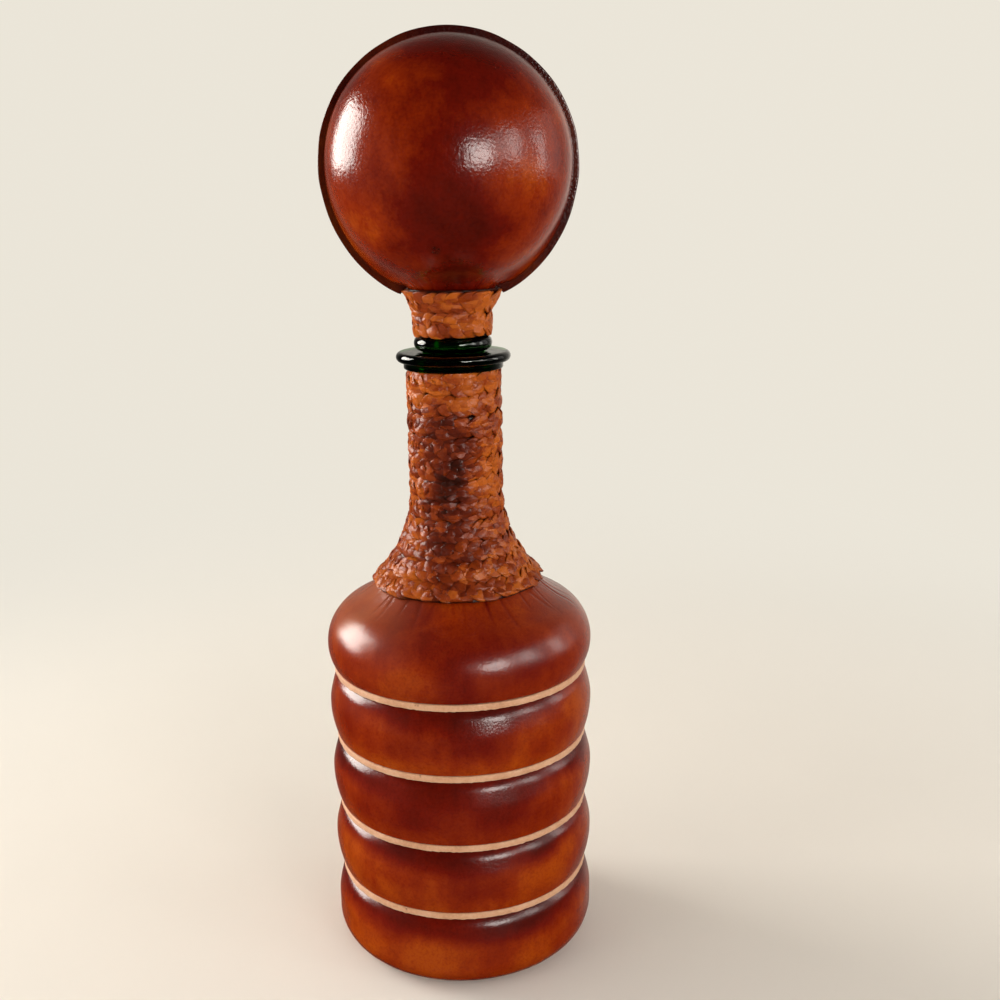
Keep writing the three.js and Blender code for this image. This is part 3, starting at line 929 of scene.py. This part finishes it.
class Seat:
    """The line in the half plane of r and z that a winding lies on."""

    def __init__(self, points):
        steps = np.linalg.norm(np.diff(points, axis=0), axis=1)
        self.lengths = np.concatenate([[0], np.cumsum(steps)])
        self.length = self.lengths[-1]
        self.columns = np.hstack([points, normals_of(points)]).T

    def at(self, along, off):
        """Radius and height at a length along the seat and a distance off it."""
        inside = np.clip(along, 0, self.length)
        past = along - inside
        r, z, nr, nz = (np.interp(inside, self.lengths, column) for column in self.columns)
        return r + nr * off - nz * past, z + nz * off + nr * past


def neck_seat():
    hollow = arc(hollow_r, leather_neck_z, HOLLOW_R - CLEARANCE, 180 + foot_angle, 180, 60)
    straight = upright(NECK_R + CLEARANCE, leather_neck_z, collar_z - CLEARANCE, 41)[1:]
    return Seat(np.vstack([hollow, straight]))


def stopper_seat():
    out = 2 * CLEARANCE + STOPPER_LEATHER
    radius = STEM_FILLET_R - out
    top, _ = meet(fillet_r, STOPPER_TOP_R, radius)
    stem = upright(STEM_R + out, stem_z + CLEARANCE, fillet_z, 21)[:-1]
    return Seat(np.vstack([stem, arc(fillet_r, fillet_z, radius, 180, 180 - top, 40)]))


stem_seat = stopper_seat()


def climbed(turns, pitch):
    """Length climbed after some turns: each turn runs level and climbs in its last share."""
    whole = np.floor(turns)
    return pitch * (whole + smooth((turns - whole - 1 + CLIMB_SHARE) / CLIMB_SHARE))


def add_winding(solid, body, seat, turn_count, tone_rule, seed):
    """A flat plait over a plain core, wound on its seat with both ends at the back."""
    pitch = (seat.length + TURN_GAP) / turn_count
    half = (pitch - TURN_GAP) / 2
    start = BACK + pi * CLIMB_SHARE
    fine = np.linspace(0, turn_count - CLIMB_SHARE, 200 * turn_count)
    radius, _ = seat.at(half + climbed(fine, pitch), PLAIT_THICK / 2)
    pieces = np.diff(fine) * pi * (radius[1:] + radius[:-1])
    lengths = np.concatenate([[0], np.cumsum(pieces)])
    steps = int(lengths[-1] / STEP_LENGTH)
    run = np.linspace(0, lengths[-1], steps)
    turns = np.interp(run, lengths, fine)
    base_r = np.interp(run, lengths, radius)[:, None]
    middle = (half + climbed(turns, pitch))[:, None]
    swing = half + PLAIT_SPREAD - STRAND_WIDTH / 2
    flat_c, flat_s = rounded(np.radians(np.arange(0, 360, 15)), 0.6)

    def line_noise(strand, size, layer):
        """Noise along the run, other for each strand and layer."""
        marks = np.column_stack([run, np.full(steps, STRAND_APART * strand), np.zeros(steps)])
        return noise(marks, size, seed + layer)

    frayed = FRAY * line_noise(0, 4 * MM, 8)[:, None] - FRAY_PAST

    def place(across, high, along_run):
        """Points at a distance across the course, above the seat and further along the run."""
        along = np.clip(middle + across, frayed, seat.length + TOP_PAST)
        r, z = seat.at(along, high)
        return polar(r, start + 2 * pi * turns[:, None] + along_run / base_r, z)

    core = place((half + TURN_GAP / 2) * flat_c, CORE_HEIGHT * (0.53 + 0.47 * flat_s), 0)
    # The core is painted dark: a painted shade where it shows between the strands
    tubes, tones, edges = [core], [np.full(core.shape[:2], CORE_SHADE)], [np.ones(core.shape[:2])]
    for strand in range(STRANDS):
        phase = 2 * pi * (run / PLAIT_PERIOD + strand / STRANDS)
        phase += 0.6 * line_noise(strand, 9 * MM, 0)
        side = swing * np.sin(phase) + 0.9 * MM * line_noise(strand, 6 * MM, 1)
        slope = (swing * 2 * pi / PLAIT_PERIOD * np.cos(phase))[:, None]
        lift = STRAND_MIDDLE + STRAND_LIFT * np.sin(2 * phase)
        lift += 0.15 * MM * line_noise(strand, 5 * MM, 2)
        roll = (0.24 * line_noise(strand, 5 * MM, 3) - STRAND_ROLL * np.sin(phase))[:, None]
        reach = 0.5 * STRAND_WIDTH * (1 + 0.25 * line_noise(strand, 5 * MM, 4))[:, None]
        across = reach * flat_c
        up = 0.5 * STRAND_THICK * flat_s + 0 * across
        cell = np.stack([run[:, None] + 0 * across, across + STRAND_APART * strand, up], axis=-1)
        folds = 1 - 2 * np.abs(noise(cell * FOLD_STRETCH, 2.6 * MM, seed + 5))
        up = up + 0.3 * MM * folds + 0.14 * MM * noise(cell, 1.4 * MM, seed + 6)
        across = across + 0.2 * MM * noise(cell, 1.5 * MM, seed + 7)
        flat = across * np.cos(roll) - up * np.sin(roll)
        high = lift[:, None] + across * np.sin(roll) + up * np.cos(roll)
        high = np.clip(high, STRAND_LOW, PLAIT_THICK + STRAND_PROUD)
        lean = np.sqrt(1 + slope ** 2)
        tubes.append(place(side[:, None] + flat / lean, high, -flat * slope / lean))
        # Painted shade where a strand sinks low under its neighbours, and at its rims
        rim = smooth((np.abs(across) / reach - 0.8) / 0.25)
        crease = smooth((2.2 * MM - high) / (0.9 * MM)) + 0.45 * rim
        tones.append(tone_rule(tubes[-1], cell))
        edges.append(np.clip(crease, 0, 1))
    columns = len(flat_c)
    count = steps * columns
    tube = grid_faces(steps, columns, False)
    tube += [list(range(columns)), list(range(count - columns, count))[::-1]]
    faces = [[tube_no * count + i for i in face] for tube_no in range(len(tubes)) for face in tube]
    shades = {"tone": tones, "edge": edges}
    add_piece(f"{solid}_plait", tubes, faces, plait, solid, body, shades)


def shaded_front(ring):
    """Painted shade on the windings: 1 a little left of the front, where it is heaviest, and 0 far
    off.
    """
    return bell(angle_from(ring, FRONT) + SHADE_TURN, SHADE_ANGLE)


def neck_tone(ring, cell):
    """Golden at the collar and in patches at the foot, dark brown between, and darker at the front
    than at the sides by painted shade.
    """
    low_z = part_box("neck_winding")[0].z
    share = (ring[..., 2] - low_z) / (collar_z - low_z)
    side = shaded_front(ring)
    dark = smooth((0.93 - share) / 0.22) * (0.45 + 0.55 * smooth(share / 0.3)) * (0.2 + 0.8 * side)
    patch = noise(ring, 14 * MM, 501)
    strand = noise(cell, 11 * MM, 502)
    return 0.04 + 0.14 * side + 0.58 * dark + 0.22 * patch + 0.24 * strand


def stopper_tone(ring, cell):
    """Golden tan all over, with some darker strands and painted shade on the front."""
    patch = noise(ring, 10 * MM, 511)
    strand = noise(cell, 9 * MM, 512)
    return 0.04 + 0.18 * shaded_front(ring) + 0.2 * patch + 0.24 * strand


# Half shells on the ball

FACE_Y = CLEARANCE / 2 + FLANGE_THICK
SEAM_FADE = 4 * MM
FLANGE_EDGE = 0.85
FLANGE_SHARES = (0.15, 0.35, 0.6, 0.8)
BALL_RUN = 1.4

# Darker and lighter places: across and up in ball radii, size, and amount
FRONT_BLOTS = [
    (0.49, 0.35, 0.16, -0.35), (-0.54, -0.18, 0.25, 0.08), (-0.62, -0.46, 0.18, -0.18),
    (0.66, -0.13, 0.17, -0.26), (-0.14, -0.27, 0.27, 0.35), (0.22, -0.55, 0.2, 0.3),
    (0.03, -0.86, 0.17, 0.9), (-0.115, -0.655, 0.03, 0.9), (-0.5, 0.76, 0.17, -0.4),
    (-0.3, -0.62, 0.2, 0.15), (0.5, -0.55, 0.18, 0.1),
]
BACK_BLOTS = [
    (-0.35, 0.2, 0.3, -0.35), (0.5, -0.35, 0.26, -0.3), (0.05, -0.5, 0.28, 0.35),
    (0.0, -0.93, 0.2, 0.6),
]


def flange_outline():
    """Right half of the flange's outline from its tail up to the top, and the tail's height."""
    end = stem_seat.length + CLEARANCE
    tip_r, tip_z = stem_seat.at(end, PLAIT_THICK + FLANGE_LAP)
    tip = acos(tip_r / flange_r)
    drop = (ball_z - tip_z) / sin(tip)
    lower = np.linspace(-tip, 0, 300)
    upper = np.linspace(0, pi / 2, 400)[1:]
    return np.vstack([
        np.column_stack([flange_r * np.cos(lower), ball_z + drop * np.sin(lower)]),
        np.column_stack([flange_r * np.cos(upper), ball_z + flange_r * np.sin(upper)]),
    ]), stem_seat.at(end, 0)[1]


outline, tail_z = flange_outline()


def tent_radius(outer):
    """Radius at the seam for each row: under the ball's middle the leather runs to the flange."""
    inner = outline - FLANGE_PROUD * normals_of(outline)
    r, z = outer.T
    tent = np.interp(z, inner[:, 1], inner[:, 0])
    low = (z < ball_z) * smooth((z - tail_z) / (2.5 * MM))
    return r + low * np.maximum(tent - r, 0)


def flange_reach(seam):
    """How far the flange stands out from each point of the seam, and the seam's normals."""
    normal = normals_of(seam)
    normal[-1] = (0, 1)
    reach = np.zeros(len(seam))
    for i, (place, way) in enumerate(zip(seam, normal)):
        to = outline - place
        ahead = to @ way
        beside = np.abs(to[:, 0] * way[1] - to[:, 1] * way[0]) + (ahead < 0)
        reach[i] = ahead[np.argmin(beside)]
    fade = smooth((seam[:, 1] - tail_z) / (0.8 * MM))
    return np.maximum(reach * fade, 0.03 * MM), normal


def fan(plane_y, radius, shares):
    """First angle of each row, at a plane, and all its angles round to the plane again."""
    first = np.arcsin(np.clip(plane_y / radius, 0, 1))[:, None]
    return first, first + (pi - 2 * first) * shares


def flange_strip(seam, seed):
    """The flange's face, rounded rim and seam plane at the right, from the skin to the lining."""
    reach, normal = flange_reach(seam)
    level = np.zeros(len(seam))
    ruffle = 0.12 * MM * noise(np.column_stack([seam, level]), 8 * MM, seed)
    full = reach + ruffle * (reach > MM)
    thin = np.minimum(FLANGE_ROUND, 0.4 * reach)
    path = [(share * (full - thin), FACE_Y) for share in FLANGE_SHARES]
    for bend in np.linspace(0, pi / 2, 5):
        rim = full - thin + thin * sin(bend)
        path.append((rim, FACE_Y - FLANGE_ROUND * (1 - cos(bend))))
    path += [(full, FLANGE_SEAM), (full / 2, FLANGE_SEAM)]
    (r, z), (way_r, way_z) = seam.T, normal.T
    return np.stack([
        np.column_stack([r + way_r * out, level + y, z + way_z * out]) for out, y in path
    ], axis=1)


def add_half_shell(which, side, blots, seed):
    """One leather half shell with half the flange; side is -1 for the front and 1 for the back."""
    low_z = stem_z + CLEARANCE
    outer = stem_and_ball(CLEARANCE + STOPPER_LEATHER, low_z, FACE_Y, SHELL_ROWS)
    inner = stem_and_ball(CLEARANCE, low_z, FLANGE_SEAM, SHELL_ROWS)
    rows = len(outer)
    shares = np.linspace(0, 1, SHELL_STEPS + 1)

    tent = tent_radius(outer)
    first, angle = fan(FACE_Y, tent, shares)
    lean = np.arccos(np.clip(outer[:, 0] / tent, 0, 1))[:, None]
    from_seam = np.minimum(angle, pi - angle) - first
    radius = outer[:, :1] / np.cos(np.maximum(lean - from_seam, 0))
    skin = polar(radius, angle, outer[:, 1:])
    normal = normals_of(outer)
    facing = polar(normal[:, :1], angle, normal[:, 1:])
    winding_z = stem_seat.at(stem_seat.length, 0)[1]
    creases = Creases(count=26, depth=0.45 * MM, width=0.7 * MM, reach=13 * MM, seed=seed)
    gathered = creases.depth_at(skin, np.maximum(skin[..., 2] - winding_z, 0) * BALL_RUN)
    wave = 0.16 * MM * noise(skin, 16 * MM, seed + 1)
    wave += 0.05 * MM * noise(skin, 6 * MM, seed + 2)
    off_seam = smooth((skin[..., 1] - FACE_Y) / SEAM_FADE)
    skin = skin + facing * (off_seam * (wave - gathered))[..., None]

    _, inner_angle = fan(FLANGE_SEAM, inner[:, 0], shares[::-4])
    lining = polar(inner[:, :1], inner_angle, inner[:, 1:])
    seam = np.column_stack([np.sqrt(np.maximum(tent ** 2 - FACE_Y ** 2, 0)), outer[:, 1]])
    right = flange_strip(seam, seed + 3)
    ring = np.concatenate([skin, right * (-1, 1, 1), lining, right[:, ::-1]], axis=1)
    ring[..., 1] *= side
    columns = ring.shape[1]
    faces = grid_faces(rows, columns, False)
    faces.append(list(range(columns)))

    flange = np.ones(right.shape[:2])
    # The flange's dark dyed edge, and a painted shadow on the ball's skin next to the flange
    edge = FLANGE_EDGE * np.concatenate([
        1 - smooth((skin[..., 1] - FACE_Y - 0.2 * MM) / (1.4 * MM)), flange,
        np.zeros(lining.shape[:2]), flange,
    ], axis=1)
    height = (ring[..., 2] - ball_z) / shell_r
    middle = bell(ring[..., 0], 0.45 * shell_r)
    patch = noise(ring, 24 * MM, seed + 4)
    # Darker down the middle and towards the top, with random patches and the blots
    stain_and_shade = 0.23 + 0.3 * middle + 0.28 * smooth((height - 0.25) / 0.6) + 0.22 * patch
    for across, up, size, amount in blots:
        stain_and_shade += amount * bell(np.hypot(ring[..., 0] / shell_r - across, height - up), size)
    # Painted shade in the gathers under the winding
    stain_and_shade[:, :skin.shape[1]] += np.maximum(gathered, 0) / MM
    name, solid = f"stopper_{which}_shell", f"stopper_{which}_leather"
    shades = {"stain_and_shade": stain_and_shade, "edge": edge}
    add_piece(name, ring, faces, ball_leather, solid, "stopper", shades)


# The whole object

add_sole()
for band, band_shading in BAND_STAIN_AND_SHADE.items():
    add_band(band, *band_shading)
add_shoulder()
for lace in range(1, 5):
    add_lace(lace)
add_bottle()
add_cork()
add_stopper_glass()
add_winding("neck_winding", "bottle", neck_seat(), NECK_TURNS, neck_tone, seed=401)
add_winding("stopper_winding", "stopper", stem_seat, STOPPER_TURNS, stopper_tone, seed=431)
add_half_shell("front", -1, FRONT_BLOTS, seed=201)
add_half_shell("back", 1, BACK_BLOTS, seed=221)


# Studio

FRAME_PIXELS = 1000
FOCAL_PIXELS = 1200
SENSOR = 36.0
CAMERA_PLACE = Vector((0, -0.5, 0.3256))
CAMERA_TILT = radians(14.0)
CAMERA_YAW = radians(2.13)
CAMERA_ROLL = radians(0.8)
CAMERA_NEAR = 0.01
FLOOR_COLOUR = (0.8, 0.767, 0.706)
FLOOR_DRIFT = 1.04
FLOOR_FADE = (0.15, 0.75)
WALL_COLOUR = (0.83, 0.785, 0.69)
SWEEP_NEAR, SWEEP_FAR = -4.0, 1.25
SWEEP_WIDE, SWEEP_TALL, SWEEP_BEND = 6.0, 3.0, 0.8
LIT_PLACE = Vector((0, 0, 0.25))
PALE_SIDE = Vector((0.3, 0.94, 0.0)).normalized()
LEFT_LIGHT = (1.0, 0.95, 0.88)
RIGHT_LIGHT = (1.0, 0.95, 0.9)

# Light of the room from its dark side to its pale one, as gloss shows it
ROOM_STOPS = [
    (0.0, (0.008, 0.007, 0.007)), (0.65, (0.008, 0.007, 0.007)), (0.8, (0.06, 0.056, 0.05)),
    (0.9, (0.2, 0.19, 0.165)), (0.97, (0.45, 0.42, 0.37)), (1.0, WALL_COLOUR),
]
# Soft light from the left to the right
FILL_STOPS = [(0.0, (0.3, 0.285, 0.27)), (0.5, (0.23, 0.22, 0.21)), (1.0, (0.58, 0.55, 0.52))]

# Direction from the object, distance, width, height, radiance, colour, and whether gloss shows it
LAMPS = {
    "window_left": ((-0.886, 0.367, 0.285), 2.2, 1.25, 1.2, 11.8, LEFT_LIGHT, True),
    "window_front": ((0.455, -0.88, 0.175), 1.6, 0.56, 0.44, 11, RIGHT_LIGHT, True),
    "fill_left": ((-0.9, -0.35, 0.12), 1.2, 1.0, 0.9, 2.6, LEFT_LIGHT, False),
    "window_right_low": ((0.76, -0.6, 0.25), 1.65, 1.1, 0.6, 1.9, RIGHT_LIGHT, True),
    "window_right": ((0.95, -0.05, 0.22), 1.7, 2.2, 1.1, 0.5, RIGHT_LIGHT, True),
    "window_right_front": ((0.83, -0.49, 0.26), 1.55, 0.28, 0.55, 3.0, RIGHT_LIGHT, True),
    "window_right_side": ((0.99, 0.03, 0.2), 1.55, 0.28, 0.65, 3.5, RIGHT_LIGHT, True),
}


def sweep_material():
    """Pale floor that takes the shadow; further off the camera sees a plain pale colour."""
    look = Look("studio sweep")
    pale = tuple(min(1, c * FLOOR_DRIFT) for c in FLOOR_COLOUR)
    drift = look.clouds(3, 3, 0.5)
    away = look.between(look.vector("LENGTH", look.coords), *FLOOR_FADE, "SMOOTHSTEP")
    wall = look.node("Emission", {"Color": (*WALL_COLOUR, 1)}).outputs[0]
    plain = look.maths("MULTIPLY", away, look.seen_rays())
    surface = look.mixed(plain, look.shader.outputs[0], wall)
    look.feed(look.output.inputs["Surface"], surface)
    return look.finish(base_color=look.ramp(drift, [(0.3, FLOOR_COLOUR), (0.7, pale)]),
                       roughness=0.85, specular_ior_level=0.1)


def add_sweep():
    """A pale floor that curves up into a wall behind the object."""
    bend_y = SWEEP_FAR - SWEEP_BEND
    line = [(SWEEP_NEAR, 0.0), (-1.0, 0.0), (0.0, 0.0)]
    for angle in np.linspace(0, pi / 2, 49):
        line.append((bend_y + SWEEP_BEND * sin(angle), SWEEP_BEND * (1 - cos(angle))))
    line.append((SWEEP_FAR, SWEEP_TALL))
    points = [(x, y, z) for y, z in line for x in (-SWEEP_WIDE, SWEEP_WIDE)]
    faces = [(2 * i, 2 * i + 1, 2 * i + 3, 2 * i + 2) for i in range(len(line) - 1)]
    mesh = bpy.data.meshes.new("studio_sweep")
    mesh.from_pydata(points, [], faces)
    mesh.polygons.foreach_set("use_smooth", [True] * len(faces))
    mesh.materials.append(sweep_material())
    sweep = new_object("studio_sweep", mesh)
    sweep.visible_glossy = False


def add_lamp(name, direction, distance, width, height, radiance, colour, glossy):
    """A soft window-like lamp that faces the object; radiance 1 would look white."""
    light = bpy.data.lights.new(name, "AREA")
    light.shape = "RECTANGLE"
    light.size, light.size_y = width, height
    light.energy = radiance * pi * width * height
    light.color = colour
    lamp = new_object(name, light)
    back = Vector(direction).normalized()
    lamp.location = LIT_PLACE + back * distance
    lamp.rotation_mode = "QUATERNION"
    lamp.rotation_quaternion = back.to_track_quat("Z", "Y")
    lamp.visible_camera = False
    lamp.visible_glossy = glossy


def set_world():
    """Soft fill, a pale room past the sweep, and for gloss a room that is pale at the back."""
    world = bpy.data.worlds.new("studio")
    scene.world = world
    nodes = Nodes(world, "Generated")

    def light(colour):
        return nodes.node("Background", {"Color": colour}).outputs[0]

    facing = nodes.vector("DOT_PRODUCT", nodes.coords, tuple(PALE_SIDE))
    across = nodes.node("SeparateXYZ", {0: nodes.coords}).outputs["X"]
    gloss = light(nodes.ramp(nodes.between(facing, -1, 1), ROOM_STOPS))
    fill = light(nodes.ramp(nodes.between(across, -1, 1), FILL_STOPS))
    glossy = nodes.node("LightPath").outputs["Is Glossy Ray"]
    room = nodes.mixed(glossy, fill, gloss)
    surface = nodes.mixed(nodes.seen_rays(), room, light((*WALL_COLOUR, 1)))
    nodes.node("OutputWorld", {"Surface": surface})


def add_camera():
    """A camera that looks along +Y, turned right, tilted down and rolled."""
    data = bpy.data.cameras.new("camera")
    data.sensor_width = SENSOR
    data.lens = SENSOR * FOCAL_PIXELS / FRAME_PIXELS
    data.clip_start = CAMERA_NEAR
    scene.camera = new_object("camera", data)
    scene.camera.matrix_world = (
        Matrix.Translation(CAMERA_PLACE)
        @ Matrix.Rotation(-CAMERA_YAW, 4, "Z")
        @ Matrix.Rotation(pi / 2 - CAMERA_TILT, 4, "X")
        @ Matrix.Rotation(-CAMERA_ROLL, 4, "Z"))


add_sweep()
for lamp_name, lamp_values in LAMPS.items():
    add_lamp(lamp_name, *lamp_values)
set_world()
add_camera()
scene.view_settings.view_transform = "Standard"
